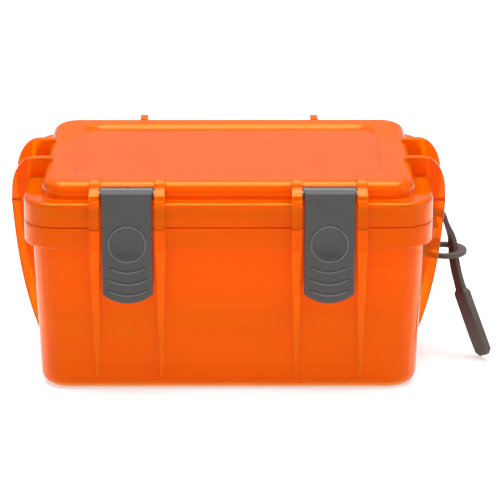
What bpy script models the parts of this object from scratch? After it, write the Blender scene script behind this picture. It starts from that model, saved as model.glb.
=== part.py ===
"""A small watertight first aid kit box: base, hinged lid with its seal, two front latches on pins, and a lanyard.

Metres, +Z up, +Y to the back. The origin is the middle of the flat bottom. The parts are in the collection
first_aid_box and the shapes that only cut or join them are in cutters.
"""

import math

import bmesh
import bpy
from mathutils import Vector

# Driving dimensions, in metres
BOTTOM = (0.1777, 0.1107)  # length and depth of the body at its bottom
MOUTH = (0.1844, 0.1186)  # length and depth of the body at its mouth, the top of the sealing lip
MOUTH_Z = 0.0864
WALL = 0.0025
BODY_CORNER = 0.014
BOTTOM_EDGE = 0.0055

COLLAR = (0.1907, 0.1256)  # length and depth of the rim, the same on the base and on the lid
COLLAR_CORNER = 0.0165
COLLAR_BOTTOM_Z = 0.0721
SEAM_Z = 0.0824
COLLAR_ROUND = 0.0012
SKIRT = 0.0022
RIM_TOP_Z = 0.0939
RIM_ROUND = 0.0018
RIM_INSIDE_Z = 0.0904  # roof of the lid's channel, where the seal sits
SEAL_BETWEEN = (0.0028, 0.0058)  # the seal's outside and inside, measured in from the collar's outline
SEAL_RIB = (0.1783, 0.1132)  # length and depth of the rib inside the seal
SEAL_RIB_CORNER = 0.0120
SEAL_RIB_WALL = 0.0018
SEAL_RIB_LOW_Z = 0.0872

PLATEAU = (0.1742, 0.1100)  # length and depth of the raised middle of the lid
PLATEAU_CORNER = 0.0125
PLATEAU_LOW_Z = 0.0905
PLATEAU_Z = 0.1030
PLATEAU_ROUND = 0.0026
PANEL = (0.1412, 0.0805)  # the shallow recess in the lid's top
PANEL_CORNER = 0.009
PANEL_DEPTH = 0.0016

LATCH_X = 0.0467
LATCH_WIDTH = 0.0234
LATCH_FRONT_Y = -0.0667
LATCH_PLATE = 0.0022
LATCH_TOP_Z = 0.1012
LATCH_TIP_Z = 0.0467
LATCH_SIDE_Z = 0.0512
LATCH_PIVOT = (-0.0606, 0.0983)  # Y and Z of the latch pins
LATCH_BARREL = 0.0032
LATCH_PIN = 0.00125
WEB_Z = (0.0955, 0.1000)  # the web between a latch's plate and its barrel
HOOK_INSET = 0.0015
HOOK_LOW = (-0.0638, 0.0040)  # the hook's back at its foot, and its height
HOOK_BACK_Y = -0.0616
DISC_Z = 0.0757
DISC_RADIUS = 0.0089
DISC_DEPTH = 0.0004

RIB_OFFSET = 0.0151  # from a latch's middle to the middle of each rib beside it
RIB_WIDTH = 0.0051
RIB_FRONT_Y = -0.0660
RIB_BACK_Y = -0.0620  # where a rib is set into the collar
RIB_HEAD_Y = (-0.0657, -0.0574)  # front and back of a rib just under the collar
RIB_FOOT_Y = (-0.0562, -0.0545)
RIB_FOOT_Z = 0.0070
RIB_FOOT_WIDTH = 0.0019
PIN_ENDS = (0.0013, 0.0021)  # how far a latch pin runs past the middle of its inner and outer rib
PIN_BORE_ENDS = (0.0016, RIB_WIDTH / 2 + 0.0010)

FIN_Y = 0.01625  # the two fins of each end stand this far before and behind the middle
FIN_THICKNESS = 0.0035
FIN_OUT_X = 0.1035
FIN_FOOT = (0.0895, 0.0115)  # X and Z where a fin runs out on the end wall
FIN_TOP_Z = 0.1036
FIN_TOP_X = 0.0830  # how far in a lid fin runs on the plateau
FIN_SHOULDER = (0.0920, 0.0880)  # middle of the elliptical shoulder of a lid fin
BAR_LOW = (0.0980, -0.0150, 0.0565)
BAR_HIGH = (0.1012, 0.0150, 0.0675)

HINGE_X = 0.0425
HINGE_AXIS = (0.0675, SEAM_Z)  # Y and Z of the hinge pins
KNUCKLE_RADIUS = 0.0042
KNUCKLE_LENGTH = 0.0120
EAR_THICKNESS = 0.0040
ARM_THICKNESS = 0.0038
HINGE_PIN = 0.0015
ARM_BEND = (0.0600, 0.0900)  # middle of the sweep of a hinge arm, Y and Z
ARM_RADII = (0.0114, 0.0130)
BRACKET_LOW_Z = 0.0735
KEEP_LOW_Z = 0.0700  # the groove under the collar is kept shut from here up at each rib, fin and ear

LOOP_CENTRE = (0.1052, 0.0, 0.0512)
LOOP_RADIUS = 0.0094
LOOP_SECTION = 0.0013
STRAP_SECTION = (0.0024, 0.0070)  # thickness and width
STRAP_TURN = (90.0, 68.0)  # how far the section is turned over the bar and at the paddle, in degrees
STRAP_OVER = 0.0034  # radius of the strap's middle line over the bar
PADDLE_POINTS = 4  # the last points of the route, where the strap widens into the paddle
TURN_POINTS = 3  # the points before them, where it turns
PADDLE_WIDER = 1.30
TIP_NARROWER = 0.85

GAP = 0.0003  # left wherever two pieces meet
FIT = 0.0001  # a pin's radial clearance
SINK = 0.0006  # how deep a joined shape is set into its neighbour
RUN_OUT = 0.0020  # how far a bore's cutter runs past both ends
SAME = 1e-6  # points nearer than this are one point

ORANGE = (0.90, 0.16, 0.01, 1.0)
GREY = (0.075, 0.070, 0.065, 1.0)
WARM_GREY = (0.135, 0.120, 0.115, 1.0)
CLEAR_RUBBER = (0.80, 0.30, 0.12, 1.0)
STEEL = (0.62, 0.62, 0.63, 1.0)


def new_collection(name):
    collection = bpy.data.collections.new(name)
    bpy.context.scene.collection.children.link(collection)
    return collection


def material(name, colour, roughness, metallic=0.0):
    made = bpy.data.materials.new(name)
    made.use_nodes = True
    shader = made.node_tree.nodes["Principled BSDF"]
    shader.inputs["Base Color"].default_value = colour
    shader.inputs["Roughness"].default_value = roughness
    shader.inputs["Metallic"].default_value = metallic
    made.diffuse_color = colour
    return made


def clear_scene():
    for obj in list(bpy.data.objects):
        bpy.data.objects.remove(obj, do_unlink=True)


clear_scene()
PARTS = new_collection("first_aid_box")
CUTTERS = new_collection("cutters")


def as_helper(obj):
    """Makes the object one that only cuts or joins others."""
    CUTTERS.objects.link(obj)
    obj.hide_render = True
    obj.display_type = "WIRE"
    return obj


def as_part(obj, finish, angle=math.radians(32)):
    PARTS.objects.link(obj)
    obj.data.materials.clear()
    obj.data.materials.append(finish)
    obj.data.shade_smooth()
    obj.data.set_sharp_from_angle(angle=angle)
    return obj


def from_bmesh(name, shape):
    mesh = bpy.data.meshes.new(name)
    shape.normal_update()
    bmesh.ops.recalc_face_normals(shape, faces=shape.faces)
    shape.to_mesh(mesh)
    shape.free()
    return bpy.data.objects.new(name, mesh)


def tapered_bar(name, low, high):
    """A bar between two level rectangles, each given as (x0, x1, y0, y1, z)."""
    shape = bmesh.new()
    bmesh.ops.create_cube(shape, size=2.0)
    for vert in shape.verts:
        x0, x1, y0, y1, z = high if vert.co.z > 0 else low
        vert.co = Vector((x1 if vert.co.x > 0 else x0, y1 if vert.co.y > 0 else y0, z))
    return from_bmesh(name, shape)


def round_level_edges(shape, z, width, segments):
    edges = [edge for edge in shape.edges if all(abs(vert.co.z - z) < SAME for vert in edge.verts)]
    bmesh.ops.bevel(
        shape, geom=edges, offset=width, segments=segments, profile=0.5, affect="EDGES", clamp_overlap=True
    )


def rounded_block(name, low_size, high_size, z0, z1, corner, edge=None, segments=7):
    """An upright block with round corners. edge is (z, width, segments) of one level edge that is rounded too."""
    shape = bmesh.new()
    bmesh.ops.create_cube(shape, size=2.0)
    for vert in shape.verts:
        length, depth = high_size if vert.co.z > 0 else low_size
        vert.co = Vector((vert.co.x * length / 2, vert.co.y * depth / 2, z1 if vert.co.z > 0 else z0))
    upright = [edge for edge in shape.edges if abs(edge.verts[0].co.z - edge.verts[1].co.z) > SAME]
    bmesh.ops.bevel(shape, geom=upright, offset=corner, segments=segments, profile=0.5, affect="EDGES")
    if edge:
        round_level_edges(shape, *edge)
    return from_bmesh(name, shape)


def inset(size, distance):
    return (size[0] - 2 * distance, size[1] - 2 * distance)


def cylinder_along_x(name, radius, x0, x1, y, z, segments=24):
    shape = bmesh.new()
    bmesh.ops.create_cone(
        shape, cap_ends=True, segments=segments, radius1=radius, radius2=radius, depth=x1 - x0
    )
    for vert in shape.verts:
        vert.co = Vector((vert.co.z + (x0 + x1) / 2, vert.co.x + y, vert.co.y + z))
    return from_bmesh(name, shape)


def flat_plate(name, outline, thickness, place):
    """A plate cut to the outline, in two coordinates. place turns an outline point and a depth into a position."""
    curve = bpy.data.curves.new(name, "CURVE")
    curve.dimensions = "2D"
    curve.fill_mode = "BOTH"
    curve.extrude = thickness / 2
    spline = curve.splines.new("POLY")
    spline.points.add(len(outline) - 1)
    for point, (u, v) in zip(spline.points, outline):
        point.co = (u, v, 0.0, 1.0)
    spline.use_cyclic_u = True
    flat = bpy.data.objects.new(name, curve)
    CUTTERS.objects.link(flat)
    bpy.context.view_layer.update()
    mesh = bpy.data.meshes.new_from_object(flat.evaluated_get(bpy.context.evaluated_depsgraph_get()))
    bpy.data.objects.remove(flat)
    shape = bmesh.new()
    shape.from_mesh(mesh)
    bmesh.ops.remove_doubles(shape, verts=shape.verts, dist=SAME)
    for vert in shape.verts:
        vert.co = Vector(place(*vert.co))
    return from_bmesh(name, shape)


def arc(centre, radii, start, end, steps):
    """Points of an elliptical arc, angles in degrees."""
    points = []
    for step in range(steps + 1):
        angle = math.radians(start + (end - start) * step / steps)
        points.append((centre[0] + radii[0] * math.cos(angle), centre[1] + radii[1] * math.sin(angle)))
    return points


def bezier(start, start_handle, end_handle, end, steps):
    points = []
    for step in range(steps + 1):
        t = step / steps
        weights = ((1 - t) ** 3, 3 * t * (1 - t) ** 2, 3 * t * t * (1 - t), t**3)
        corners = (start, start_handle, end_handle, end)
        points.append(tuple(sum(w * corner[i] for w, corner in zip(weights, corners)) for i in (0, 1)))
    return points


def boolean(obj, other, operation):
    modifier = obj.modifiers.new(f"{operation.lower()} {other.name}", "BOOLEAN")
    modifier.operation = operation
    modifier.object = other
    modifier.solver = "EXACT"


def join(obj, other):
    boolean(obj, as_helper(other), "UNION")


def cut(obj, other):
    boolean(obj, as_helper(other), "DIFFERENCE")


def ring(name, outer_size, inner_size, z0, z1, outer_corner, inner_corner):
    """A level frame between two rounded rectangles."""
    outer = rounded_block(name, outer_size, outer_size, z0, z1, outer_corner)
    hole_z = (z0 - SINK, z1 + SINK)
    cut(outer, rounded_block(f"{name}_hole", inner_size, inner_size, *hole_z, inner_corner))
    return outer


def baked(obj):
    """The same shape with its modifiers worked out, so that it can cut or join another."""
    if not obj.users_collection:
        CUTTERS.objects.link(obj)
    bpy.context.view_layer.update()
    mesh = bpy.data.meshes.new_from_object(obj.evaluated_get(bpy.context.evaluated_depsgraph_get()))
    name = obj.name
    for modifier in list(obj.modifiers):
        bpy.data.objects.remove(modifier.object)
    bpy.data.objects.remove(obj)
    return bpy.data.objects.new(name, mesh)


def sides():
    """The two ends of the box: a word and a sign for X."""
    return (("left", -1), ("right", 1))


def rib_places():
    """A name and the X of the middle of each of the four front ribs."""
    for word, sign in sides():
        for place, offset in (("outer", RIB_OFFSET), ("inner", -RIB_OFFSET)):
            yield f"{word}_{place}", sign * (LATCH_X + offset)


def fin_places():
    for word, sign in sides():
        for place, y in (("front", -FIN_Y), ("back", FIN_Y)):
            yield f"{word}_{place}", sign, y


def base_fin_outline():
    """Half a fin of the base, X outwards and Z: straight off the body, bowed at its outer edge."""
    top = SEAM_Z - GAP / 2
    edge = bezier((FIN_OUT_X, top), (0.1017, 0.0584), (0.0994, 0.0355), FIN_FOOT, 14)
    return [(0.0880, FIN_FOOT[1]), (0.0905, top)] + edge


def lid_fin_outline():
    low = SEAM_Z + GAP / 2
    x, z = FIN_SHOULDER
    shoulder = arc(FIN_SHOULDER, (FIN_OUT_X - x - GAP, FIN_TOP_Z - z), 0, 90, 9)
    top = [(FIN_TOP_X, FIN_TOP_Z), (FIN_TOP_X, 0.1015), (0.0862, 0.0925)]
    return [(0.0938, low), (FIN_OUT_X, low)] + shoulder + top


def ear_outline():
    """An ear of the base's hinge, Y and Z: a round eye on a bracket off the back of the collar."""
    z = HINGE_AXIS[1]
    eye = arc(HINGE_AXIS, (KNUCKLE_RADIUS, KNUCKLE_RADIUS), -50, 180, 16)
    back = COLLAR[1] / 2 - 0.0010
    return [(back, BRACKET_LOW_Z)] + eye + [(back, z - GAP / 2)]


def make_base(finish):
    """The tub: one wall all round, a lip that the seal presses on, and the collar outside it."""
    lip = MOUTH_Z
    base = rounded_block("base_shell", BOTTOM, MOUTH, 0.0, lip, BODY_CORNER, (0.0, BOTTOM_EDGE, 4))
    collar_top = SEAM_Z - GAP / 2
    edge = (COLLAR_BOTTOM_Z, COLLAR_ROUND, 2)
    join(base, rounded_block("collar", COLLAR, COLLAR, COLLAR_BOTTOM_Z, collar_top, COLLAR_CORNER, edge))
    for word, x in rib_places():
        half = RIB_WIDTH / 2
        boss = (x - half, x + half, RIB_FRONT_Y, RIB_BACK_Y)
        join(base, tapered_bar(f"{word}_rib_boss", (*boss, COLLAR_BOTTOM_Z), (*boss, collar_top)))
        foot = RIB_FOOT_WIDTH / 2
        low = (x - foot, x + foot, *RIB_FOOT_Y, RIB_FOOT_Z)
        high = (x - half, x + half, *RIB_HEAD_Y, COLLAR_BOTTOM_Z + SINK)
        join(base, tapered_bar(f"{word}_rib", low, high))
    for word, sign, y in fin_places():
        place = lambda u, v, w, sign=sign, y=y: (sign * u, y + w, v)
        join(base, flat_plate(f"{word}_base_fin", base_fin_outline(), FIN_THICKNESS, place))
    join(base, lanyard_bar())
    for word, sign in sides():
        for side in (-1, 1):
            x = sign * HINGE_X + side * (KNUCKLE_LENGTH / 2 + GAP + EAR_THICKNESS / 2)
            place = lambda u, v, w, x=x: (x + w, u, v)
            join(base, flat_plate(f"{word}_ear_{side}", ear_outline(), EAR_THICKNESS, place))
        half = KNUCKLE_LENGTH / 2 + EAR_THICKNESS + RUN_OUT
        x = sign * HINGE_X
        cut(base, cylinder_along_x(f"{word}_ear_bore", HINGE_PIN + FIT, x - half, x + half, *HINGE_AXIS))
    low, high = inset(BOTTOM, WALL), inset(MOUTH, WALL)
    corner = BODY_CORNER - WALL
    top = lip + SINK
    cut(base, rounded_block("base_hollow", low, high, WALL, top, corner, (WALL, BOTTOM_EDGE - WALL, 3)))
    outside, inside = inset(COLLAR, SKIRT), inset(MOUTH, -FIT)
    groove_z = (COLLAR_BOTTOM_Z - SINK, SEAM_Z - SKIRT)
    groove = baked(ring("collar_groove", outside, inside, *groove_z, COLLAR_CORNER - SKIRT, BODY_CORNER))
    cut(base, baked(cleared_groove(groove)))
    return as_part(base, finish)


def cleared_groove(groove):
    """The groove under the collar stops short of the ribs, the fins and the hinge ears, which stay solid."""
    for word, x in rib_places():
        half = RIB_WIDTH / 2
        across = (x - half, x + half, -0.0700, -0.0550)
        cut(groove, tapered_bar(f"{word}_rib_keep", (*across, KEEP_LOW_Z), (*across, SEAM_Z)))
    for word, sign, y in fin_places():
        half = FIN_THICKNESS / 2
        xs = sorted((sign * 0.0880, sign * 0.1000))
        across = (*xs, y - half, y + half)
        cut(groove, tapered_bar(f"{word}_fin_keep", (*across, KEEP_LOW_Z), (*across, SEAM_Z)))
    for word, sign in sides():
        for side in (-1, 1):
            x = sign * HINGE_X + side * (KNUCKLE_LENGTH / 2 + GAP + EAR_THICKNESS / 2)
            half = EAR_THICKNESS / 2
            across = (x - half, x + half, 0.0560, 0.0700)
            cut(groove, tapered_bar(f"{word}_ear_keep_{side}", (*across, KEEP_LOW_Z), (*across, SEAM_Z)))
    return groove


def lanyard_bar():
    """The bar that the lanyard hangs on, between the two fins of the right end, round on top."""
    (x0, y0, z0), (x1, y1, z1) = BAR_LOW, BAR_HIGH
    radius = (x1 - x0) / 2
    crown = arc(((x0 + x1) / 2, z1 - radius), (radius, radius), 0, 180, 8)
    outline = [(x0, z0), (x1, z0)] + crown
    return flat_plate("lanyard_bar", outline, y1 - y0, lambda u, v, w: (u, w, v))


def lid_rib_outline():
    """A latch rib of the lid, Y and Z: over the plateau's edge, a shoulder above the pin, then straight down."""
    low = SEAM_Z + GAP / 2
    return [
        (-0.0500, 0.0995),
        (-0.0500, 0.1033),
        (-0.0545, 0.1034),
        (-0.0566, 0.1024),
        (-0.0578, 0.1006),
        (-0.0592, 0.1002),
        (-0.0608, 0.1005),
        (-0.0638, 0.0990),
        (-0.0654, 0.0977),
        (RIB_FRONT_Y, 0.0960),
        (RIB_FRONT_Y, low),
        (-0.0612, low),
        (-0.0612, 0.0915),
    ]


def arm_outline():
    """A hinge arm of the lid, Y and Z: from the plateau's back edge, over the rim and down to the knuckle."""
    low = SEAM_Z + GAP / 2
    foot = HINGE_AXIS[0] + 0.0034
    sweep = arc(ARM_BEND, ARM_RADII, 0, 90, 10)
    return [(0.0612, low), (foot, low)] + sweep + [(0.0500, PLATEAU_Z), (0.0500, 0.0995), (0.0612, 0.0915)]


def make_lid(finish):
    """The lid: a skirt level with the collar, a raised middle with a shallow recess, and ribs for the pins."""
    low = SEAM_Z + GAP / 2
    edge = (RIM_TOP_Z, RIM_ROUND, 3)
    lid = rounded_block("lid_shell", COLLAR, COLLAR, low, RIM_TOP_Z, COLLAR_CORNER, edge)
    edge = (PLATEAU_Z, PLATEAU_ROUND, 3)
    join(lid, rounded_block("plateau", PLATEAU, PLATEAU, PLATEAU_LOW_Z, PLATEAU_Z, PLATEAU_CORNER, edge))
    half = RIB_WIDTH / 2
    for word, x in rib_places():
        place = lambda u, v, w, x=x: (x + w, u, v)
        join(lid, flat_plate(f"{word}_lid_rib", lid_rib_outline(), RIB_WIDTH, place))
    for word, sign, y in fin_places():
        place = lambda u, v, w, sign=sign, y=y: (sign * u, y + w, v)
        join(lid, flat_plate(f"{word}_lid_fin", lid_fin_outline(), FIN_THICKNESS, place))
    for word, sign in sides():
        x = sign * HINGE_X
        place = lambda u, v, w, x=x: (x + w, u, v)
        join(lid, flat_plate(f"{word}_hinge_arm", arm_outline(), ARM_THICKNESS, place))
        half = KNUCKLE_LENGTH / 2
        join(lid, cylinder_along_x(f"{word}_knuckle", KNUCKLE_RADIUS, x - half, x + half, *HINGE_AXIS, 32))
        bore = half + RUN_OUT
        cut(lid, cylinder_along_x(f"{word}_knuckle_bore", HINGE_PIN + FIT, x - bore, x + bore, *HINGE_AXIS))
    panel_z = PLATEAU_Z - PANEL_DEPTH
    cut(lid, rounded_block("panel_recess", PANEL, PANEL, panel_z, PLATEAU_Z + SINK, PANEL_CORNER))
    cut_lid_hollow(lid, panel_z)
    inner_corner = SEAL_RIB_CORNER - SEAL_RIB_WALL
    rib_z = (SEAL_RIB_LOW_Z, RIM_INSIDE_Z + SINK)
    join(lid, baked(ring("seal_rib", SEAL_RIB, inset(SEAL_RIB, SEAL_RIB_WALL), *rib_z, SEAL_RIB_CORNER, inner_corner)))
    for word, sign in sides():
        x0, x1 = pin_span(sign, *PIN_BORE_ENDS)
        cut(lid, cylinder_along_x(f"{word}_pin_bore", LATCH_PIN + FIT, x0, x1, *LATCH_PIVOT))
    return as_part(lid, finish)


def pin_span(sign, inner, outer):
    """From past the middle of a latch's inner rib to past the middle of its outer one, in rising X."""
    return sorted((sign * (LATCH_X - RIB_OFFSET - inner), sign * (LATCH_X + RIB_OFFSET + outer)))


def cut_lid_hollow(lid, panel_z):
    """Hollows the lid: a low channel under the rim, and the raised middle with an even wall round the recess."""
    under = SEAM_Z - SINK
    skirt_inside = inset(COLLAR, SKIRT)
    cut(lid, rounded_block("rim_hollow", skirt_inside, skirt_inside, under, RIM_INSIDE_Z, COLLAR_CORNER - SKIRT))
    inside = inset(PLATEAU, WALL)
    roof = panel_z - WALL
    corner = PLATEAU_CORNER - WALL
    cut(lid, rounded_block("plateau_hollow", inside, inside, under, roof, corner))
    border = inset(PANEL, -WALL)
    ledge = ring("border_hollow", inside, border, roof - SINK, PLATEAU_Z - WALL, corner, PANEL_CORNER + WALL)
    cut(lid, baked(ledge))


def make_seal(finish):
    """The seal: a soft ring held in the lid's channel, above the lip of the base."""
    outer, inner = (inset(COLLAR, distance) for distance in SEAL_BETWEEN)
    seal = ring("lid_seal", outer, inner, MOUTH_Z + GAP, RIM_INSIDE_Z - GAP, 0.0140, 0.0110)
    return as_part(seal, finish)


def make_latch(word, sign, finish):
    """A latch: a plate with a round foot, a barrel on the pin, and a hook that snaps under the collar."""
    x = sign * LATCH_X
    half = LATCH_WIDTH / 2
    sag = LATCH_SIDE_Z - LATCH_TIP_Z
    radius = (half * half + sag * sag) / (2 * sag)
    spread = math.degrees(math.asin(half / radius))
    foot = arc((0.0, LATCH_TIP_Z + radius), (radius, radius), 270 + spread, 270 - spread, 10)
    outline = [(-half, LATCH_TOP_Z), (half, LATCH_TOP_Z)] + foot
    middle = LATCH_FRONT_Y + LATCH_PLATE / 2
    place = lambda u, v, w: (x + u, middle + w, v)
    latch = flat_plate(f"latch_{word}", outline, LATCH_PLATE, place)
    ends = (x - half, x + half)
    join(latch, cylinder_along_x(f"{word}_barrel", LATCH_BARREL, *ends, *LATCH_PIVOT, 28))
    back = LATCH_FRONT_Y + LATCH_PLATE - SINK
    web = (x - half, x + half, back, LATCH_PIVOT[0])
    join(latch, tapered_bar(f"{word}_web", (*web, WEB_Z[0]), (*web, WEB_Z[1])))
    hook = (x - half + HOOK_INSET, x + half - HOOK_INSET, back)
    hook_top = COLLAR_BOTTOM_Z - GAP
    low_back, height = HOOK_LOW
    join(latch, tapered_bar(f"{word}_hook", (*hook, low_back, hook_top - height), (*hook, HOOK_BACK_Y, hook_top)))
    bore = (x - half - RUN_OUT, x + half + RUN_OUT)
    cut(latch, cylinder_along_x(f"{word}_latch_bore", LATCH_PIN + FIT, *bore, *LATCH_PIVOT))
    disc = latch_disc(word, x)
    cut(latch, disc)
    as_part(latch, finish)
    return set_origin(latch, (x, *LATCH_PIVOT))


def latch_disc(word, x):
    """The shallow round recess in the latch's front."""
    front = arc((0.0, DISC_Z), (DISC_RADIUS, DISC_RADIUS), 0, 345, 23)
    place = lambda u, v, w: (x + u, LATCH_FRONT_Y + w, v)
    return flat_plate(f"{word}_disc", front, 2 * DISC_DEPTH, place)


def set_origin(obj, place):
    """Moves an object's origin onto its joint axis without moving its shape."""
    origin = Vector(place)
    for vert in obj.data.vertices:
        vert.co -= origin
    obj.location = origin
    return obj


def make_pins(latch_finish, hinge_finish):
    for word, sign in sides():
        x0, x1 = pin_span(sign, *PIN_ENDS)
        as_part(cylinder_along_x(f"latch_pin_{word}", LATCH_PIN, x0, x1, *LATCH_PIVOT), latch_finish)
        half = KNUCKLE_LENGTH / 2 + EAR_THICKNESS
        x = sign * HINGE_X
        as_part(cylinder_along_x(f"hinge_pin_{word}", HINGE_PIN, x - half, x + half, *HINGE_AXIS), hinge_finish)


def strap_route():
    """Middle line of the lanyard: up behind the bar, over it, down through the loop, then out to the paddle."""
    x = (BAR_LOW[0] + BAR_HIGH[0]) / 2
    z = BAR_HIGH[2] - (BAR_HIGH[0] - BAR_LOW[0]) / 2
    over = [(a, 0.0, b) for a, b in arc((x, z), (STRAP_OVER, STRAP_OVER), 180, 10, 6)]
    up = [(0.0960, 0.0, 0.0505), (0.0955, 0.0, 0.0560), (0.0958, 0.0, 0.0615)]
    down = [
        (0.1049, 0.0, 0.0633),
        (0.1075, 0.0, 0.0588),
        (0.1089, -0.0002, 0.0540),
        (0.1094, -0.0010, 0.0490),
        (0.1102, -0.0022, 0.0440),
        (0.1124, -0.0046, 0.0350),
        (0.1136, -0.0060, 0.0310),
        (0.1148, -0.0072, 0.0280),
        (0.1210, -0.0117, 0.0115),
        (0.1241, -0.0138, 0.0035),
        (0.1246, -0.0142, 0.0022),
    ]
    return up + over + down


def make_lanyard(finish):
    """The rubber lanyard: a round loop, a strap over the bar and back through the loop, and a flat paddle."""
    route = strap_route()
    thickness, width = (size / 2 for size in STRAP_SECTION)
    section = bpy.data.curves.new("strap_section", "CURVE")
    section.dimensions = "2D"
    spline = section.splines.new("POLY")
    outline = [(0.55, 1), (-0.55, 1), (-1, 0.8), (-1, -0.8), (-0.55, -1), (0.55, -1), (1, -0.8), (1, 0.8)]
    spline.points.add(len(outline) - 1)
    for point, (u, v) in zip(spline.points, outline):
        point.co = (u * thickness, v * width, 0.0, 1.0)
    spline.use_cyclic_u = True
    section_guide = as_helper(bpy.data.objects.new("strap_section", section))
    curve = bpy.data.curves.new("lanyard", "CURVE")
    curve.dimensions = "3D"
    curve.bevel_mode = "OBJECT"
    curve.bevel_object = section_guide
    curve.use_fill_caps = True
    curve.resolution_u = 2
    spline = curve.splines.new("BEZIER")
    spline.bezier_points.add(len(route) - 1)
    first_paddle = len(route) - PADDLE_POINTS
    for index, (point, place) in enumerate(zip(spline.bezier_points, route)):
        point.co = place
        point.handle_left_type = point.handle_right_type = "AUTO"
        point.radius = PADDLE_WIDER if index >= first_paddle else 1.0
        point.tilt = math.radians(STRAP_TURN[0] if index < first_paddle - TURN_POINTS else STRAP_TURN[1])
    spline.bezier_points[-1].radius = TIP_NARROWER
    tube = bpy.data.objects.new("lanyard_tube", curve)
    CUTTERS.objects.link(tube)
    bpy.context.view_layer.update()
    mesh = bpy.data.meshes.new_from_object(tube.evaluated_get(bpy.context.evaluated_depsgraph_get()))
    bpy.data.objects.remove(tube)
    shape = bmesh.new()
    shape.from_mesh(mesh)
    bmesh.ops.remove_doubles(shape, verts=shape.verts, dist=SAME)
    strap = from_bmesh("lanyard", shape)
    join(strap, lanyard_loop())
    as_part(strap, finish, math.radians(45))
    bar_x = (BAR_LOW[0] + BAR_HIGH[0]) / 2
    bar_z = BAR_HIGH[2] - (BAR_HIGH[0] - BAR_LOW[0]) / 2
    return set_origin(strap, (bar_x, 0.0, bar_z))


def lanyard_loop():
    """The loop: a round ring lying level, a little flattened in section."""
    bpy.ops.mesh.primitive_torus_add(
        major_segments=28,
        minor_segments=8,
        major_radius=LOOP_RADIUS,
        minor_radius=LOOP_SECTION,
        location=LOOP_CENTRE,
    )
    loop = bpy.context.object
    loop.name = "lanyard_loop"
    bpy.ops.object.transform_apply(location=True)
    for collection in list(loop.users_collection):
        collection.objects.unlink(loop)
    return loop


def build():
    shell = material("orange_plastic", ORANGE, 0.18)
    make_base(shell)
    make_lid(material("orange_lid_plastic", ORANGE, 0.18))
    make_seal(material("seal_rubber", CLEAR_RUBBER, 0.45))
    for word, sign in sides():
        make_latch(word, sign, material(f"latch_plastic_{word}", GREY, 0.42))
    make_pins(material("latch_pin_steel", STEEL, 0.3, 1.0), material("hinge_pin_steel", STEEL, 0.3, 1.0))
    make_lanyard(material("lanyard_rubber", WARM_GREY, 0.55))


build()
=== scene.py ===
"""A small clear orange box for first aid supplies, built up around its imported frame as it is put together."""

import math

import bmesh
import bpy
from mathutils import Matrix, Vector


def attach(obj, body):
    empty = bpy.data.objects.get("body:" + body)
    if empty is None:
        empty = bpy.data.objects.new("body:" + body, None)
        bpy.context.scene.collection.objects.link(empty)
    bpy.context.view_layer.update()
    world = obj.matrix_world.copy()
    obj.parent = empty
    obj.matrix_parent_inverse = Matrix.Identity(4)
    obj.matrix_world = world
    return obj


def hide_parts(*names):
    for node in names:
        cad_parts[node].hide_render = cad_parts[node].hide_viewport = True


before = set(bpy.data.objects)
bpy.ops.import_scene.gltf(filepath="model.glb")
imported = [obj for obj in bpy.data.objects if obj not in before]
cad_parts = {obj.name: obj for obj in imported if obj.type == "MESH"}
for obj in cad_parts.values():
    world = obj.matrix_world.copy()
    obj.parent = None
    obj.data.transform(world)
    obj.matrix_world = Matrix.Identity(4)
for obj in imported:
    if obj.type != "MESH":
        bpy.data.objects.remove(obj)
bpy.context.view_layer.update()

# ---------------------------------------------------------------------------------------------------------------
# The camera. It stands a little over a metre in front of the box, at eye height above the table, with a long lens.
CAMERA_PLACE = (0.0055, -1.2471, 0.4566)
CAMERA_TILT = math.radians(72.0)
CAMERA_TURN = math.radians(-0.217)
LENS_LENGTH = 193.9
SENSOR_WIDTH = 36.0
CLEAR_FROM = 0.05
CLEAR_TO = 20.0

bpy.ops.object.camera_add(location=CAMERA_PLACE, rotation=(CAMERA_TILT, 0.0, CAMERA_TURN))
camera = bpy.context.object
camera.data.lens = LENS_LENGTH
camera.data.sensor_width = SENSOR_WIDTH
camera.data.clip_start = CLEAR_FROM
camera.data.clip_end = CLEAR_TO
bpy.context.scene.camera = camera

# ---------------------------------------------------------------------------------------------------------------
# The table and the light: a plain white sweep, a wide soft light overhead and white all round.
BOUNCES = 40
TABLE_SIZE = 12.0
TABLE_GREY = (0.60, 0.60, 0.60, 1.0)
TABLE_ROUGH = 0.9
TABLE_GLOW = 0.50
ROOM_FRONT = 0.55
ROOM_BACK = 0.42
MIDDLE = (0.0, 0.0, 0.05)
WHITE = (1.0, 1.0, 1.0, 1.0)

bpy.context.scene.view_settings.view_transform = "Standard"
paths = bpy.context.scene.cycles
paths.max_bounces = paths.transmission_bounces = paths.glossy_bounces = BOUNCES
bpy.ops.mesh.primitive_grid_add(x_subdivisions=2, y_subdivisions=2, size=TABLE_SIZE, location=(0.0, 0.0, 0.0))
table = bpy.context.object
table.name = "table_top"


def new_finish(name):
    """An empty material and its node tree, with the shader and the output in place."""
    made = bpy.data.materials.new(name)
    made.use_nodes = True
    return made, made.node_tree, made.node_tree.nodes["Principled BSDF"]


def wear(piece, finish):
    piece.data.materials.clear()
    piece.data.materials.append(finish)


white, _, shader = new_finish("table_white")
shader.inputs["Base Color"].default_value = TABLE_GREY
shader.inputs["Roughness"].default_value = TABLE_ROUGH
shader.inputs["Specular IOR Level"].default_value = 0.0
shader.inputs["Emission Color"].default_value = WHITE
shader.inputs["Emission Strength"].default_value = TABLE_GLOW
wear(table, white)


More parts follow.
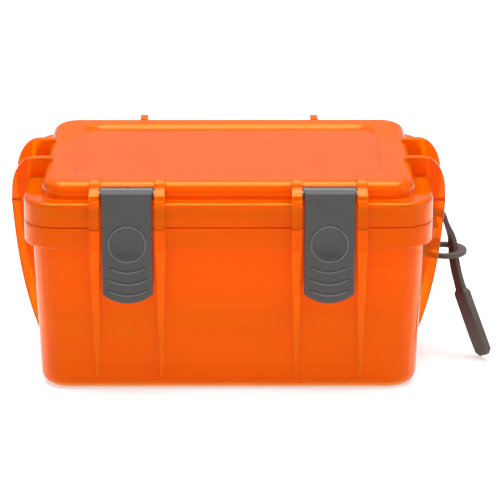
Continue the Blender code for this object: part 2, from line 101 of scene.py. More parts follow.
def area_light(name, place, aim, size, power):
    """A soft light of the given size in metres and power in watts, turned to shine at aim."""
    bpy.ops.object.light_add(type="AREA", location=place)
    lamp = bpy.context.object
    lamp.name = name
    lamp.data.shape = "RECTANGLE"
    lamp.data.size, lamp.data.size_y = size
    lamp.data.energy = power
    lamp.rotation_euler = (Vector(place) - Vector(aim)).to_track_quat("Z", "Y").to_euler()


area_light("overhead_softbox", place=(0.0, 0.1, 1.6), aim=MIDDLE, size=(1.6, 1.2), power=48.0)
area_light("front_softbox", place=(0.0, -1.6, 1.1), aim=MIDDLE, size=(1.6, 1.0), power=0.8)
area_light("right_softbox", place=(1.5, -0.5, 0.8), aim=(0.1, 0.0, 0.05), size=(0.8, 0.8), power=4.0)

world = bpy.data.worlds.new("white_room")
bpy.context.scene.world = world
world.use_nodes = True
room = world.node_tree.nodes["Background"]
room.inputs["Color"].default_value = WHITE
facing = world.node_tree.nodes.new("ShaderNodeTexCoord")
apart = world.node_tree.nodes.new("ShaderNodeSeparateXYZ")
front_to_back = world.node_tree.nodes.new("ShaderNodeMapRange")
front_to_back.inputs["From Min"].default_value = -1.0
front_to_back.inputs["To Min"].default_value = ROOM_FRONT
front_to_back.inputs["To Max"].default_value = ROOM_BACK
world.node_tree.links.new(facing.outputs["Generated"], apart.inputs["Vector"])
world.node_tree.links.new(apart.outputs["Y"], front_to_back.inputs["Value"])
world.node_tree.links.new(front_to_back.outputs["Result"], room.inputs["Strength"])

# ---------------------------------------------------------------------------------------------------------------
# The tub. One injection moulding in clear orange polycarbonate: a tapered wall with round corners, a collar under
# the rim, four ribs at the front, two fins at each end, a bar for the lanyard and two pairs of hinge ears.
BOTTOM = (0.1777, 0.1107)
MOUTH = (0.1844, 0.1186)
MOUTH_Z = 0.0864
WALL = 0.0025
BODY_CORNER = 0.014
BOTTOM_ROUND = 0.0055
COLLAR = (0.1907, 0.1256)
COLLAR_CORNER = 0.0165
COLLAR_LOW_Z = 0.0721
COLLAR_ROUND = 0.0012
SEAM_Z = 0.0824
SEAM_ROUND = 0.0004
SKIRT = 0.0022
HALF_GAP = 0.00015
LATCH_X = 0.0467
RIB_OFFSET = 0.0151
RIB_WIDTH = 0.0051
RIB_FRONT_Y = -0.0660
RIB_BACK_Y = -0.0574
RIB_ROUND = 0.0005
RIB_FOOT_HALF = 0.00095
RIB_FOOT = (-0.0562, -0.0545, 0.0070)
BOSS_BACK_Y = -0.0620
FIN_Y = 0.01625
FIN_THICK = 0.0035
FIN_ROUND = 0.0006
FIN_OUT_X = 0.1035
FIN_ROOT = (0.0880, 0.0905)
FIN_FOOT = (0.0895, 0.0115)
FIN_BENDS = ((0.1017, 0.0584), (0.0994, 0.0355))
BAR_MIDDLE = (0.0996, 0.0659)
BAR_HALF = 0.0016
BAR_FOOT_Z = 0.0565
BAR_LENGTH = 0.0300
HINGE_X = 0.0425
HINGE_AXIS = (0.0675, SEAM_Z)
KNUCKLE_RADIUS = 0.0042
KNUCKLE_LENGTH = 0.0120
EAR_THICK = 0.0040
EAR_ROUND = 0.0004
EAR_FOOT = (0.0618, 0.0735)
PIN_BORE = 0.0016
PAST_END = 0.002
GATE_X = -0.0030
GATE_RADIUS = 0.0042
GATE_HEIGHT = 0.0012
GATE_ROUND = 0.0004
DIMPLE_RADIUS = 0.0016
DIMPLE_RISE = 0.0015
KEEP_LOW_Z = 0.0700
KEEP_RIB_Y = (-0.0700, -0.0550)
KEEP_EAR_Y = (0.0560, 0.0700)
KEEP_FIN_X = 0.1000
GAP = 0.0003
SINK = 0.0006
HAIR = 0.0001


def nothing_selected():
    if bpy.context.mode != "OBJECT":
        bpy.ops.object.mode_set(mode="OBJECT")
    bpy.ops.object.select_all(action="DESELECT")


def pick(kind, test):
    """Selects, in edit mode, the points, edges or faces that pass the test, and nothing else."""
    bpy.ops.mesh.select_mode(type=kind)
    bpy.ops.mesh.select_all(action="DESELECT")
    work = bmesh.from_edit_mesh(bpy.context.object.data)
    parts = {"VERT": work.verts, "EDGE": work.edges, "FACE": work.faces}[kind]
    for part in parts:
        if test(part):
            part.select_set(True)
    work.select_flush_mode()
    bmesh.update_edit_mesh(bpy.context.object.data)


def level_at(z):
    """A test for edges and faces that lie level at the height z."""
    return lambda part: all(abs(point.co.z - z) < 1e-5 for point in part.verts)


def rises(edge):
    """Whether the edge goes up or down at all."""
    return abs(edge.verts[0].co.z - edge.verts[1].co.z) > 1e-5


def begin(name):
    """Names the new primitive and goes into edit mode with all of it selected."""
    piece = bpy.context.object
    piece.name = piece.data.name = name
    bpy.ops.object.mode_set(mode="EDIT")
    return piece


def end(piece):
    """Leaves edit mode and leaves the piece at the origin, unturned and unscaled."""
    bpy.ops.object.mode_set(mode="OBJECT")
    bpy.ops.object.transform_apply(location=True, rotation=True, scale=True)
    return piece


def block(name, low_size, high_size, z0, z1, corner, rounds=(), segments=12):
    """An upright block with round corners, wider at the top. rounds lists (z, radius, segments) of level edges."""
    nothing_selected()
    bpy.ops.mesh.primitive_cube_add(size=1.0, location=(0.0, 0.0, 0.0))
    piece = begin(name)
    bpy.ops.transform.resize(value=(*low_size, z1 - z0), center_override=(0.0, 0.0, 0.0))
    bpy.ops.transform.translate(value=(0.0, 0.0, (z0 + z1) / 2))
    pick("VERT", lambda point: point.co.z > (z0 + z1) / 2)
    grow = (high_size[0] / low_size[0], high_size[1] / low_size[1], 1.0)
    bpy.ops.transform.resize(value=grow, center_override=(0.0, 0.0, z1))
    pick("EDGE", rises)
    bpy.ops.mesh.bevel(offset=corner, segments=segments, profile=0.5, affect="EDGES")
    for z, radius, count in rounds:
        pick("EDGE", level_at(z))
        bpy.ops.mesh.bevel(offset=radius, segments=count, profile=0.5, affect="EDGES")
    return end(piece)


def bar(name, low, high, radius=0.0, segments=3):
    """A bar between two level rectangles, each (x0, x1, y0, y1, z), with its long edges rounded."""
    nothing_selected()
    bpy.ops.mesh.primitive_cube_add(size=2.0, location=(0.0, 0.0, 0.0))
    piece = begin(name)
    for sign, (x0, x1, y0, y1, z) in ((-1, low), (1, high)):
        pick("VERT", lambda point, sign=sign: point.co.z * sign > 0.5)
        grow = ((x1 - x0) / 2, (y1 - y0) / 2, 1.0)
        bpy.ops.transform.resize(value=grow, center_override=(0.0, 0.0, sign))
        bpy.ops.transform.translate(value=((x0 + x1) / 2, (y0 + y1) / 2, 0.0))
    pick("VERT", lambda point: point.co.z > 0.5)
    bpy.ops.transform.translate(value=(0.0, 0.0, high[4] - 1.0))
    pick("VERT", lambda point: point.co.z < -0.5)
    bpy.ops.transform.translate(value=(0.0, 0.0, low[4] + 1.0))
    if radius:
        pick("EDGE", rises)
        bpy.ops.mesh.bevel(offset=radius, segments=segments, profile=0.5, affect="EDGES")
    return end(piece)


def plate(name, outline, place, thickness, radius=0.0, segments=3):
    """A plate cut to an outline. place turns an outline point and a depth into a position in the box."""
    nothing_selected()
    points = [Vector(place(u, v, -thickness / 2)) for u, v in outline]
    bpy.ops.mesh.primitive_plane_add(size=0.001, location=points[0])
    piece = begin(name)
    bpy.ops.mesh.select_mode(type="VERT")
    bpy.ops.mesh.select_all(action="SELECT")
    bpy.ops.mesh.merge(type="CENTER")
    for here, there in zip(points, points[1:]):
        bpy.ops.mesh.extrude_vertices_move(TRANSFORM_OT_translate={"value": there - here})
    bpy.ops.mesh.select_all(action="SELECT")
    bpy.ops.mesh.edge_face_add()
    across = Vector(place(*outline[0], thickness / 2)) - points[0]
    bpy.ops.mesh.extrude_region_move(TRANSFORM_OT_translate={"value": across})
    bpy.ops.mesh.select_all(action="SELECT")
    bpy.ops.mesh.normals_make_consistent(inside=False)
    if radius:
        way = across.normalized()
        pick("EDGE", lambda edge: abs((edge.verts[0].co - edge.verts[1].co).dot(way)) < 1e-6)
        bpy.ops.mesh.bevel(offset=radius, segments=segments, profile=0.5, affect="EDGES", clamp_overlap=True)
    return end(piece)


def rod(name, radius, x0, x1, y, z, segments=48, radius_at_ends=0.0):
    """A round bar along X."""
    nothing_selected()
    bpy.ops.mesh.primitive_cylinder_add(
        vertices=segments,
        radius=radius,
        depth=x1 - x0,
        location=((x0 + x1) / 2, y, z),
        rotation=(0.0, math.pi / 2, 0.0),
    )
    piece = begin(name)
    if radius_at_ends:
        half = (x1 - x0) / 2 - 1e-5
        pick("EDGE", lambda edge: abs(edge.verts[0].co.z + edge.verts[1].co.z) > 2 * half)
        bpy.ops.mesh.bevel(offset=radius_at_ends, segments=3, profile=0.5, affect="EDGES")
    return end(piece)


def arc(centre, radii, start, finish, steps):
    """Points of an elliptical arc, angles in degrees."""
    turns = (math.radians(start + (finish - start) * step / steps) for step in range(steps + 1))
    return [(centre[0] + radii[0] * math.cos(turn), centre[1] + radii[1] * math.sin(turn)) for turn in turns]


def bezier(corners, steps):
    """Points of a smooth bend led by four corners."""
    points = []
    for step in range(steps + 1):
        t = step / steps
        weights = ((1 - t) ** 3, 3 * t * (1 - t) ** 2, 3 * t * t * (1 - t), t**3)
        points.append(tuple(sum(w * corner[i] for w, corner in zip(weights, corners)) for i in (0, 1)))
    return points


def inset(size, distance):
    return (size[0] - 2 * distance, size[1] - 2 * distance)


def copied(piece, move=(0.0, 0.0, 0.0), half_turn=False):
    """A copy with its own mesh, moved, or turned half round the middle of the box."""
    nothing_selected()
    bpy.context.view_layer.objects.active = piece
    piece.select_set(True)
    bpy.ops.object.duplicate(linked=False)
    twin = bpy.context.object
    if half_turn:
        bpy.ops.transform.rotate(value=math.pi, orient_axis="Z", center_override=(0.0, 0.0, 0.0))
    bpy.ops.transform.translate(value=move)
    bpy.ops.object.transform_apply(location=True, rotation=True, scale=True)
    return twin


def joined(pieces):
    nothing_selected()
    for piece in pieces:
        piece.select_set(True)
    bpy.context.view_layer.objects.active = pieces[0]
    bpy.ops.object.join()
    return pieces[0]


def boolean(piece, other, operation):
    """Joins the other shape to the piece or cuts it away, and removes it."""
    nothing_selected()
    bpy.context.view_layer.objects.active = piece
    piece.select_set(True)
    step = piece.modifiers.new("boolean", "BOOLEAN")
    step.operation = operation
    step.object = other
    step.solver = "EXACT"
    bpy.ops.object.modifier_apply(modifier=step.name)
    bpy.data.objects.remove(other)


def add(piece, *others):
    for other in others:
        boolean(piece, other, "UNION")


def cut(piece, *others):
    for other in others:
        boolean(piece, other, "DIFFERENCE")


def smoothed(piece, angle=32.0):
    """Smooth shading, with the broad faces deciding the normals so that flats stay flat."""
    nothing_selected()
    bpy.context.view_layer.objects.active = piece
    piece.select_set(True)
    bpy.ops.object.mode_set(mode="EDIT")
    bpy.ops.mesh.select_all(action="SELECT")
    bpy.ops.mesh.remove_doubles(threshold=2e-6)
    bpy.ops.mesh.dissolve_degenerate(threshold=2e-6)
    bpy.ops.object.mode_set(mode="OBJECT")
    bpy.ops.object.shade_smooth_by_angle(angle=math.radians(angle))
    step = piece.modifiers.new("flats", "WEIGHTED_NORMAL")
    step.keep_sharp = True
    bpy.ops.object.modifier_apply(modifier=step.name)
    return piece


def rib_middles():
    return [side * LATCH_X + offset for side in (-1, 1) for offset in (-RIB_OFFSET, RIB_OFFSET)]


def four_ribs(first):
    """The rib at the far left, and its copies at the other three places."""
    middles = rib_middles()
    return joined([first] + [copied(first, (x - middles[0], 0.0, 0.0)) for x in middles[1:]])


def four_fins(first):
    """The front right fin, and its copies at the back and at the left end."""
    back = copied(first, (0.0, 2 * FIN_Y, 0.0))
    return joined([first, back, copied(first, half_turn=True), copied(back, half_turn=True)])


tub = block("tub", BOTTOM, MOUTH, 0.0, MOUTH_Z, BODY_CORNER, [(0.0, BOTTOM_ROUND, 6)])
collar_top = SEAM_Z - HALF_GAP
collar_rounds = [(COLLAR_LOW_Z, COLLAR_ROUND, 4), (collar_top, SEAM_ROUND, 2)]
add(tub, block("collar", COLLAR, COLLAR, COLLAR_LOW_Z, collar_top, COLLAR_CORNER, collar_rounds))

x = rib_middles()[0]
half = RIB_WIDTH / 2
boss = (x - half, x + half, RIB_FRONT_Y, BOSS_BACK_Y)
add(tub, four_ribs(bar("rib_boss", (*boss, COLLAR_LOW_Z), (*boss, collar_top), RIB_ROUND)))
foot = (x - RIB_FOOT_HALF, x + RIB_FOOT_HALF, *RIB_FOOT)
head = (x - half, x + half, RIB_FRONT_Y + GAP, RIB_BACK_Y, COLLAR_LOW_Z + SINK)
add(tub, four_ribs(bar("rib", foot, head, RIB_ROUND)))

fin_outline = [(FIN_ROOT[0], FIN_FOOT[1]), (FIN_ROOT[1], collar_top)]
fin_outline += bezier(((FIN_OUT_X, collar_top), *FIN_BENDS, FIN_FOOT), 28)
fin = plate("tub_fin", fin_outline, lambda u, v, w: (u, w - FIN_Y, v), FIN_THICK, FIN_ROUND)
add(tub, four_fins(fin))

bar_outline = [(BAR_MIDDLE[0] - BAR_HALF, BAR_FOOT_Z), (BAR_MIDDLE[0] + BAR_HALF, BAR_FOOT_Z)]
bar_outline += arc(BAR_MIDDLE, (BAR_HALF, BAR_HALF), 0, 180, 16)
add(tub, plate("lanyard_bar", bar_outline, lambda u, v, w: (u, w, v), BAR_LENGTH))

ear_x = HINGE_X + KNUCKLE_LENGTH / 2 + GAP + EAR_THICK / 2
eye = arc(HINGE_AXIS, (KNUCKLE_RADIUS, KNUCKLE_RADIUS), -50, 180, 32)
ear_outline = [EAR_FOOT] + eye + [(EAR_FOOT[0], collar_top)]
ear = plate("hinge_ear", ear_outline, lambda u, v, w: (ear_x + w, u, v), EAR_THICK, EAR_ROUND)
other_ears = (2 * HINGE_X - ear_x, ear_x - 2 * HINGE_X, -ear_x)
add(tub, joined([ear] + [copied(ear, (x - ear_x, 0.0, 0.0)) for x in other_ears]))
reach = KNUCKLE_LENGTH / 2 + EAR_THICK + PAST_END
for x in (-HINGE_X, HINGE_X):
    cut(tub, rod("ear_bore", PIN_BORE, x - reach, x + reach, *HINGE_AXIS, 32))

low, high = inset(BOTTOM, WALL), inset(MOUTH, WALL)
hollow_rounds = [(WALL, BOTTOM_ROUND - WALL, 5)]
cut(tub, block("hollow", low, high, WALL, MOUTH_Z + SINK, BODY_CORNER - WALL, hollow_rounds))

# The groove under the collar, which keeps the wall even. It stops at each rib, fin and ear.
groove_z = (COLLAR_LOW_Z - SINK, SEAM_Z - SKIRT)
groove = block("groove", inset(COLLAR, SKIRT), inset(COLLAR, SKIRT), *groove_z, COLLAR_CORNER - SKIRT)
core = inset(MOUTH, -HAIR)
cut(groove, block("core", core, core, groove_z[0] - SINK, groove_z[1] + SINK, BODY_CORNER))
kept = [(x - half, x + half, *KEEP_RIB_Y) for x in rib_middles()]
for x0, x1 in ((-KEEP_FIN_X, -FIN_ROOT[0]), (FIN_ROOT[0], KEEP_FIN_X)):
    kept += [(x0, x1, y - FIN_THICK / 2, y + FIN_THICK / 2) for y in (-FIN_Y, FIN_Y)]
kept += [(x - EAR_THICK / 2, x + EAR_THICK / 2, *KEEP_EAR_Y) for x in (ear_x, *other_ears)]
for across in kept:
    cut(groove, bar("keep", (*across, KEEP_LOW_Z), (*across, SEAM_Z)))
cut(tub, groove)

# The mark of the gate in the middle of the floor, where the plastic went in: a low round step with a dimple.
nothing_selected()
bpy.ops.mesh.primitive_cylinder_add(
    vertices=40, radius=GATE_RADIUS, depth=GATE_HEIGHT, location=(GATE_X, 0.0, WALL)
)
gate = begin("gate")
pick("EDGE", level_at(GATE_HEIGHT / 2))
bpy.ops.mesh.bevel(offset=GATE_ROUND, segments=3, affect="EDGES")
add(tub, end(gate))
nothing_selected()
bpy.ops.mesh.primitive_uv_sphere_add(
    segments=32, ring_count=16, radius=DIMPLE_RADIUS, location=(GATE_X, 0.0, WALL + DIMPLE_RISE)
)
cut(tub, end(begin("gate_dimple")))
smoothed(tub)
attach(tub, "base")
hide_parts("base_shell")


def position(tree):
    """The place on the piece, in its own frame."""
    return tree.nodes.new("ShaderNodeTexCoord").outputs["Object"]


def drawn_out(tree, place, shrink):
    """The place with its X shrunk, so that a noise on it runs in lines along X."""
    flow = tree.nodes.new("ShaderNodeMapping")
    flow.inputs["Scale"].default_value = (shrink, 1.0, 1.0)
    tree.links.new(place, flow.inputs["Vector"])
    return flow.outputs["Vector"]


def noise(tree, place, scale, detail):
    """A cloudy value from 0 to 1."""
    cloud = tree.nodes.new("ShaderNodeTexNoise")
    cloud.inputs["Scale"].default_value = scale
    cloud.inputs["Detail"].default_value = detail
    tree.links.new(place, cloud.inputs["Vector"])
    return cloud.outputs["Fac"]


def between(tree, value, low, high):
    """A value from 0 to 1, brought between low and high."""
    span = tree.nodes.new("ShaderNodeMapRange")
    span.inputs["To Min"].default_value = low
    span.inputs["To Max"].default_value = high
    tree.links.new(value, span.inputs["Value"])
    return span.outputs["Result"]


def shades(tree, value, low, high, starts=0.0, stops=1.0):
    """A colour that goes from low to high while the value goes from starts to stops."""
    tint = tree.nodes.new("ShaderNodeValToRGB")
    tint.color_ramp.elements[0].position = starts
    tint.color_ramp.elements[0].color = (*low, 1.0)
    tint.color_ramp.elements[1].position = stops
    tint.color_ramp.elements[1].color = (*high, 1.0)
    tree.links.new(value, tint.inputs["Fac"])
    return tint.outputs["Color"]


def laid_over(tree, where, under, over):
    """The colour under, turned into the colour over as far as the value where says."""
    mix = tree.nodes.new("ShaderNodeMix")
    mix.data_type = "RGBA"
    mix.inputs["B"].default_value = (*over, 1.0)
    tree.links.new(where, mix.inputs["Factor"])
    tree.links.new(under, mix.inputs["A"])
    return mix.outputs["Result"]


def worked_out(tree, kind, first, second):
    """One step of arithmetic on two values, each a number or the output of a node."""
    step = tree.nodes.new("ShaderNodeMath")
    step.operation = kind
    for socket, value in zip(step.inputs, (first, second)):
        if isinstance(value, float):
            socket.default_value = value
        else:
            tree.links.new(value, socket)
    return step.outputs[0]


CLEARNESS = 0.68
ORANGE_SHEEN = (1.0, 0.65, 0.08, 1.0)
PROUD_BY = 0.0004
LID_TOP_FROM_Z = 0.0925
FRAME_FROM_Z = 0.1027
EDGE_FROM_Z = 0.0988
PANEL_REACH = (0.0708, 0.0405)
SHINE = (0.04, 0.11)
FRAME_ROUGHER = 0.32
EDGE_ROUGHER = 0.18
PANEL_SMOOTHER = 0.03
STREAKS = ((1.0, 0.150, 0.0), (1.0, 0.178, 0.0))
# Painted light: a lighter, yellower orange on the ribs, and a share of it on the lid's top.
PAINTED_LIGHT_ORANGE = (1.0, 0.22, 0.0)
LID_PAINTED_LIGHT_SHARE = 0.7
FIN_DEEP = (0.98, 0.115, 0.0)


def clear_orange():
    """Clear orange polycarbonate: the colour is in the plastic, so it deepens with each wall the light crosses."""
    made, tree, shader = new_finish("clear_orange")
    shader.inputs["Transmission Weight"].default_value = CLEARNESS
    shader.inputs["IOR"].default_value = 1.5
    shader.inputs["Specular Tint"].default_value = ORANGE_SHEEN
    place = position(tree)
    axes = tree.nodes.new("ShaderNodeSeparateXYZ")
    tree.links.new(place, axes.inputs["Vector"])

    def calc(kind, first, second):
        return worked_out(tree, kind, first, second)

    x = calc("ABSOLUTE", axes.outputs["X"], 0.0)
    y = calc("ABSOLUTE", axes.outputs["Y"], 0.0)
    z = axes.outputs["Z"]
    lid_top = calc("GREATER_THAN", z, LID_TOP_FROM_Z)
    on_panel = calc("MULTIPLY", calc("LESS_THAN", x, PANEL_REACH[0]), calc("LESS_THAN", y, PANEL_REACH[1]))
    on_panel = calc("MULTIPLY", on_panel, lid_top)
    on_frame = calc("GREATER_THAN", z, FRAME_FROM_Z)
    on_edge = calc("MULTIPLY", calc("GREATER_THAN", z, EDGE_FROM_Z), calc("LESS_THAN", z, FRAME_FROM_Z))
    on_edge = calc("MULTIPLY", on_edge, calc("SUBTRACT", 1.0, on_panel))

    # The raised middle was polished less than the rest of the mould, and its panel more.
    rough = between(tree, noise(tree, place, scale=60.0, detail=4.0), *SHINE)
    rough = calc("ADD", rough, calc("MULTIPLY", on_frame, FRAME_ROUGHER))
    rough = calc("ADD", rough, calc("MULTIPLY", on_edge, EDGE_ROUGHER))
    rough = calc("SUBTRACT", rough, calc("MULTIPLY", on_panel, PANEL_SMOOTHER))
    tree.links.new(rough, shader.inputs["Roughness"])

    # Streaks run along the walls the way the plastic flowed, and the thick fins are a deeper orange.
    slope = (MOUTH[1] - BOTTOM[1]) / 2 / MOUTH_Z
    wall = calc("ADD", calc("MULTIPLY", z, slope), BOTTOM[1] / 2 + PROUD_BY)
    proud = calc("MULTIPLY", calc("GREATER_THAN", y, wall), calc("LESS_THAN", z, COLLAR_LOW_Z))
    flow = noise(tree, drawn_out(tree, place, 0.12), scale=110.0, detail=3.0)
    colour = shades(tree, flow, *STREAKS, 0.3, 0.7)
    # Painted light: the ribs below the collar, and in part the lid's top, are laid in a lighter, yellower orange.
    painted_light_mask = calc("MAXIMUM", proud, calc("MULTIPLY", lid_top, LID_PAINTED_LIGHT_SHARE))
    colour = laid_over(tree, painted_light_mask, colour, PAINTED_LIGHT_ORANGE)
    on_fins = calc("GREATER_THAN", x, COLLAR[0] / 2 + GAP)
    colour = laid_over(tree, on_fins, colour, FIN_DEEP)
    tree.links.new(colour, shader.inputs["Base Color"])
    return made


orange = clear_orange()
wear(tub, orange)

# ---------------------------------------------------------------------------------------------------------------
# The lid. The same plastic: a skirt level with the collar, a raised middle with a shallow recess, ribs that hold
# the latch pins, fins that carry on those of the tub, and two hinge arms at the back.
RIM_TOP_Z = 0.0939
RIM_INSIDE_Z = 0.0904
RIM_ROUND = 0.0018
PLATEAU = (0.1742, 0.1100)
PLATEAU_CORNER = 0.0125
PLATEAU_LOW_Z = 0.0905
PLATEAU_Z = 0.1030
PLATEAU_ROUND = 0.0055
PLATEAU_FALL = math.radians(1.0)
PLATEAU_SINK = 0.0005
PANEL = (0.1412, 0.0805)
PANEL_CORNER = 0.009
PANEL_DEPTH = 0.0020
PANEL_BORDER = 0.0030
PANEL_FLOOR_ROUND = 0.0010
PANEL_LIP_ROUND = 0.0012
PANEL_LIP_MARGIN = 0.001
BORDER_ROOF_Z = 0.0990
ARM_WIDTH = 0.0038
ARM_Y = (0.0612, 0.0709)
ARM_BEND = (0.0600, 0.0900)
ARM_REACH = (0.0114, 0.0130)
KNUCKLE_ROUND = 0.0003
LATCH_PIVOT = (-0.0606, 0.0983)
LATCH_BORE = 0.00135
LATCH_BORE_FROM = LATCH_X - RIB_OFFSET - 0.0016
LATCH_BORE_TO = LATCH_X + RIB_OFFSET + 0.00355
FIN_TOP_Z = 0.1036
FIN_SHOULDER = (0.0920, 0.0880)
FIN_REACH = (0.0112, FIN_TOP_Z - FIN_SHOULDER[1])
SEAL_RIB = inset(COLLAR, 0.0062)
SEAL_RIB_CORNER = 0.0120
SEAL_RIB_THICK = 0.0018
SEAL_RIB_LOW_Z = 0.0872
SEAL_RIB_ROUND = 0.0004

skirt_low = SEAM_Z + HALF_GAP
skirt_rounds = [(RIM_TOP_Z, RIM_ROUND, 6), (skirt_low, SEAM_ROUND, 2)]
lid = block("lid", COLLAR, COLLAR, skirt_low, RIM_TOP_Z, COLLAR_CORNER, skirt_rounds)
plateau_rounds = [(PLATEAU_Z, PLATEAU_ROUND, 12)]
raised = block("plateau", PLATEAU, PLATEAU, PLATEAU_LOW_Z, PLATEAU_Z, PLATEAU_CORNER, plateau_rounds)
panel_z = PLATEAU_Z - PANEL_DEPTH
slope = PANEL_BORDER * (PANEL_DEPTH + SINK) / PANEL_DEPTH
panel_rounds = [(panel_z, PANEL_FLOOR_ROUND, 4)]
cut(raised, block("recess", PANEL, inset(PANEL, -slope), panel_z, PLATEAU_Z + SINK, PANEL_CORNER, panel_rounds))
bpy.ops.object.mode_set(mode="EDIT")
lip = inset(PANEL, -slope - PANEL_LIP_MARGIN)


def on_lip(edge):
    """Whether the edge is the upper one of the recess."""
    near = all(abs(point.co.x) < lip[0] / 2 and abs(point.co.y) < lip[1] / 2 for point in edge.verts)
    return near and level_at(PLATEAU_Z)(edge)


pick("EDGE", on_lip)
bpy.ops.mesh.bevel(offset=PANEL_LIP_ROUND, segments=4, profile=0.5, affect="EDGES")
# The top of the raised middle falls a little to the front.
pick("VERT", lambda point: point.co.z > PLATEAU_Z - PLATEAU_ROUND - HAIR)
bpy.ops.transform.rotate(value=-PLATEAU_FALL, orient_axis="X", center_override=(0.0, 0.0, PLATEAU_Z))
bpy.ops.transform.translate(value=(0.0, 0.0, -PLATEAU_SINK))
bpy.ops.object.mode_set(mode="OBJECT")
add(lid, raised)

lid_rib_outline = [
    (-0.0490, 0.0995),
    (-0.0490, 0.1018),
    (-0.0522, 0.1034),
    (-0.0545, 0.1034),
    (-0.0566, 0.1024),
    (-0.0578, 0.1006),
    (-0.0592, 0.1002),
    (-0.0608, 0.1005),
    (-0.0638, 0.0990),
    (-0.0654, 0.0977),
    (RIB_FRONT_Y, 0.0960),
    (RIB_FRONT_Y, skirt_low),
    (-0.0612, skirt_low),
    (-0.0612, 0.0915),
]
x = rib_middles()[0]
lid_rib = plate("lid_rib", lid_rib_outline, lambda u, v, w: (x + w, u, v), RIB_WIDTH, RIB_ROUND)
add(lid, four_ribs(lid_rib))

lid_fin_outline = [(0.0938, skirt_low), (FIN_OUT_X, skirt_low)]
lid_fin_outline += arc(FIN_SHOULDER, FIN_REACH, 0, 90, 18)
lid_fin_outline += [(0.0848, FIN_TOP_Z), (0.0818, 0.1012), (0.0862, 0.0925)]
lid_fin = plate("lid_fin", lid_fin_outline, lambda u, v, w: (u, w - FIN_Y, v), FIN_THICK, FIN_ROUND)
add(lid, four_fins(lid_fin))

arm_outline = [(y, skirt_low) for y in ARM_Y]
arm_outline += arc(ARM_BEND, ARM_REACH, 0, 90, 20)
arm_outline += [(0.0540, PLATEAU_Z), (0.0520, 0.0995), (ARM_Y[0], 0.0915)]
half_knuckle = KNUCKLE_LENGTH / 2
bore = half_knuckle + PAST_END
for x in (-HINGE_X, HINGE_X):
    add(lid, plate("hinge_arm", arm_outline, lambda u, v, w: (x + w, u, v), ARM_WIDTH, RIB_ROUND))
    add(lid, rod("knuckle", KNUCKLE_RADIUS, x - half_knuckle, x + half_knuckle, *HINGE_AXIS, 48, KNUCKLE_ROUND))
    cut(lid, rod("knuckle_bore", PIN_BORE, x - bore, x + bore, *HINGE_AXIS, 32))

under = SEAM_Z - SINK
inside = inset(COLLAR, SKIRT)
cut(lid, block("rim_hollow", inside, inside, under, RIM_INSIDE_Z, COLLAR_CORNER - SKIRT))
inside = inset(PLATEAU, WALL)
roof = panel_z - WALL
cut(lid, block("plateau_hollow", inside, inside, under, roof, PLATEAU_CORNER - WALL))
pocket = block("border", inside, inside, roof - SINK, BORDER_ROOF_Z, PLATEAU_CORNER - WALL)
border = inset(PANEL, -WALL)
cut(pocket, block("border_core", border, border, roof - 2 * SINK, PLATEAU_Z, PANEL_CORNER + WALL))
cut(lid, pocket)
rib_z = (SEAL_RIB_LOW_Z, RIM_INSIDE_Z + SINK)
rib_rounds = [(SEAL_RIB_LOW_Z, SEAL_RIB_ROUND, 2)]
rib_ring = block("seal_rib", SEAL_RIB, SEAL_RIB, *rib_z, SEAL_RIB_CORNER, rib_rounds)
rib_hole = inset(SEAL_RIB, SEAL_RIB_THICK)
hole_z = (rib_z[0] - SINK, rib_z[1] + SINK)
cut(rib_ring, block("seal_rib_hole", rib_hole, rib_hole, *hole_z, SEAL_RIB_CORNER - SEAL_RIB_THICK))
add(lid, rib_ring)
for side in (-1, 1):
    # The bore goes through the outer rib and stops inside the inner one.
    x0, x1 = sorted((side * LATCH_BORE_FROM, side * LATCH_BORE_TO))
    cut(lid, rod("pin_bore", LATCH_BORE, x0, x1, *LATCH_PIVOT, 32))
smoothed(lid)
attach(lid, "lid")
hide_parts("lid_shell")
wear(lid, orange)

# ---------------------------------------------------------------------------------------------------------------
# The gasket: a soft clear silicone ring of near square section, pressed into the channel under the lid's rim, where
# the lip of the tub bears on it.
SEAL_LOW_Z = MOUTH_Z + GAP
SEAL_HIGH_Z = RIM_INSIDE_Z - GAP
SEAL_OUTER = inset(COLLAR, 0.0028)
SEAL_WIDE = 0.0030
SEAL_CORNER = 0.0140
SEAL_LOW_ROUND = 0.0007
SEAL_HIGH_ROUND = 0.0004

seal_rounds = [(SEAL_LOW_Z, SEAL_LOW_ROUND, 4), (SEAL_HIGH_Z, SEAL_HIGH_ROUND, 3)]
gasket = block("gasket", SEAL_OUTER, SEAL_OUTER, SEAL_LOW_Z, SEAL_HIGH_Z, SEAL_CORNER, seal_rounds)
inner = inset(SEAL_OUTER, SEAL_WIDE)
hole_z = (SEAL_LOW_Z - SINK, SEAL_HIGH_Z + SINK)
cut(gasket, block("gasket_hole", inner, inner, *hole_z, SEAL_CORNER - SEAL_WIDE))
smoothed(gasket)


SILICONE_TINTS = ((0.90, 0.47, 0.28), (0.95, 0.56, 0.36))
SILICONE_SHINE = (0.38, 0.55)


def soft_silicone():
    """Translucent silicone with a faint cloud in it and a satin skin."""
    made, tree, shader = new_finish("clear_silicone")
    shader.inputs["Transmission Weight"].default_value = 0.6
    shader.inputs["IOR"].default_value = 1.41
    cloud = noise(tree, position(tree), scale=140.0, detail=3.0)
    tint = shades(tree, cloud, *SILICONE_TINTS, 0.35, 0.65)
    tree.links.new(tint, shader.inputs["Base Color"])
    tree.links.new(between(tree, cloud, *SILICONE_SHINE), shader.inputs["Roughness"])
    return made


wear(gasket, soft_silicone())
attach(gasket, "lid")
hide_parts("lid_seal")

# ---------------------------------------------------------------------------------------------------------------
# The four pins: short lengths of drawn stainless rod with turned ends. Two join the lid to the tub at the back, and
# one carries each latch between its pair of ribs.
STEEL_GREYS = ((0.50, 0.50, 0.51), (0.68, 0.68, 0.69))
STEEL_SHINE = (0.22, 0.38)


